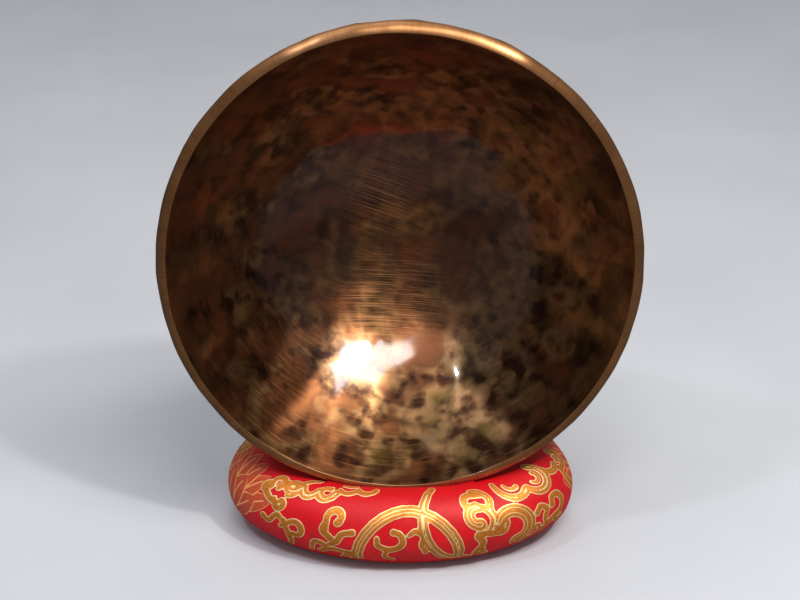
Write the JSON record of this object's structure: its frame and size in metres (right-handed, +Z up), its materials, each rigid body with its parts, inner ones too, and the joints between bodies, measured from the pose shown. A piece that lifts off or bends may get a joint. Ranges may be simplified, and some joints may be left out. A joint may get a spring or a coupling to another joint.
{
  "type": "singing bowl on a ring cushion",
  "caption": "Wide hand-hammered bronze singing bowl standing on its edge, mouth forward, in an oval stuffed brocade ring cushion it lifts out of.",
  "frame": {"origin": "on the table, under the middle of the oval ring cushion", "axes": "+Z up; the bowl's mouth faces -Y and leans back 10 degrees; +X to the right seen from the front"},
  "size_m": [0.24, 0.1303, 0.2675],
  "materials": {
    "bronze": "satin",
    "brocade": "satin",
    "wadding": "matte",
    "thread": "matte"
  },
  "bodies": {
    "cushion": {"cushion_cover": "brocade", "cushion_filling": "wadding", "closing_stitches": "thread", "cross_seam_stitches": "thread"},
    "bowl": {"bowl": "bronze"}
  },
  "joints": [
    {"name": "bowl_lift", "type": "slide", "parent": "cushion", "child": "bowl", "axis": [0, 0, 1], "range_m": [0, 0.12]}
  ]
}
